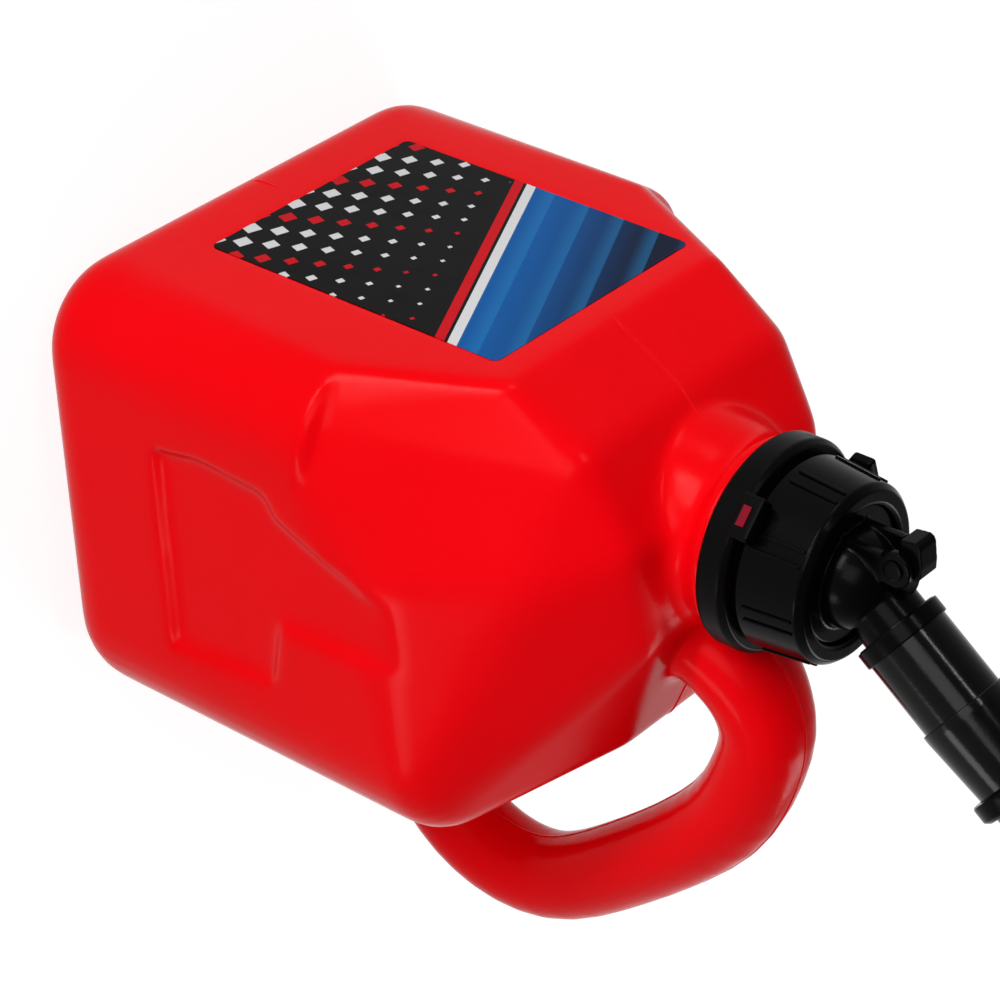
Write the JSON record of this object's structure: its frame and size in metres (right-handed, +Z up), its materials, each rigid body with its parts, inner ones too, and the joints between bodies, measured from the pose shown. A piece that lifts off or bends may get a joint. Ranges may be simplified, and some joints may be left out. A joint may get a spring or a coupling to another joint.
{
  "type": "fuel can",
  "caption": "Blow-moulded jug-shaped fuel can with a rear loop handle, screw collar and a leaning, swivelling pouring spout opened by a sprung thumb trigger.",
  "frame": {"origin": "middle of the flat base the can stands on", "axes": "+Z up, -Y towards the label, +Y towards the handle, +X across the can"},
  "size_m": [0.224, 0.2951, 0.4478],
  "materials": {
    "red_shell": "semi-gloss",
    "black_gloss": "gloss",
    "black_satin": "satin",
    "seal_rubber": "matte",
    "steel": "satin",
    "label_film": "semi-gloss"
  },
  "bodies": {
    "can": {"tank": "red_shell", "front_label": "label_film", "lock_ring": "black_satin", "lug_insert_1": "red_shell", "lug_insert_2": "red_shell"},
    "gasket": {"neck_gasket": "seal_rubber"},
    "collar": {"screw_collar": "black_gloss"},
    "spout": {"spout_base": "black_gloss", "flame_screen": "steel", "gland_seal": "seal_rubber", "valve_spring": "steel", "trigger_pin": "steel", "spout_tube": "black_gloss", "tube_ring": "black_gloss", "tube_seal": "seal_rubber", "nozzle": "black_gloss", "stop_ring": "black_gloss", "vent_spider": "black_satin", "vent_tube": "black_satin"},
    "trigger": {"trigger": "black_gloss"},
    "valve": {"valve_stem": "black_satin", "valve_seal": "seal_rubber", "stem_head": "black_satin"}
  },
  "joints": [
    {"name": "spout_lift", "type": "slide", "parent": "can", "child": "gasket", "axis": [0, 0, 1], "range_m": [0, 0.009]},
    {"name": "collar_turn", "type": "hinge", "parent": "gasket", "child": "collar", "pos_m": [0, -0.0275, 0.29], "axis": [0, 0, 1], "range_deg": [0, 540]},
    {"name": "spout_swivel", "type": "hinge", "parent": "gasket", "child": "spout", "pos_m": [0, -0.0275, 0.3], "axis": [0, 0, 1], "continuous": true},
    {"name": "trigger_press", "type": "hinge", "parent": "spout", "child": "trigger", "pos_m": [0, -0.0429, 0.3247], "axis": [1, 0, 0], "range_deg": [0, 18]},
    {"name": "valve_lift", "type": "slide", "parent": "spout", "child": "valve", "axis": [0, 0, 1], "range_m": [0, 0.0028], "stiffness_N_per_m": 60, "springref_m": -0.004, "deforming": ["valve_spring"]}
  ],
  "couplings": [
    {"joint": "spout_lift", "follows": "collar_turn", "m_per_rad": 0.00095493},
    {"joint": "trigger_press", "follows": "valve_lift", "rad_per_m": 112.19}
  ]
}
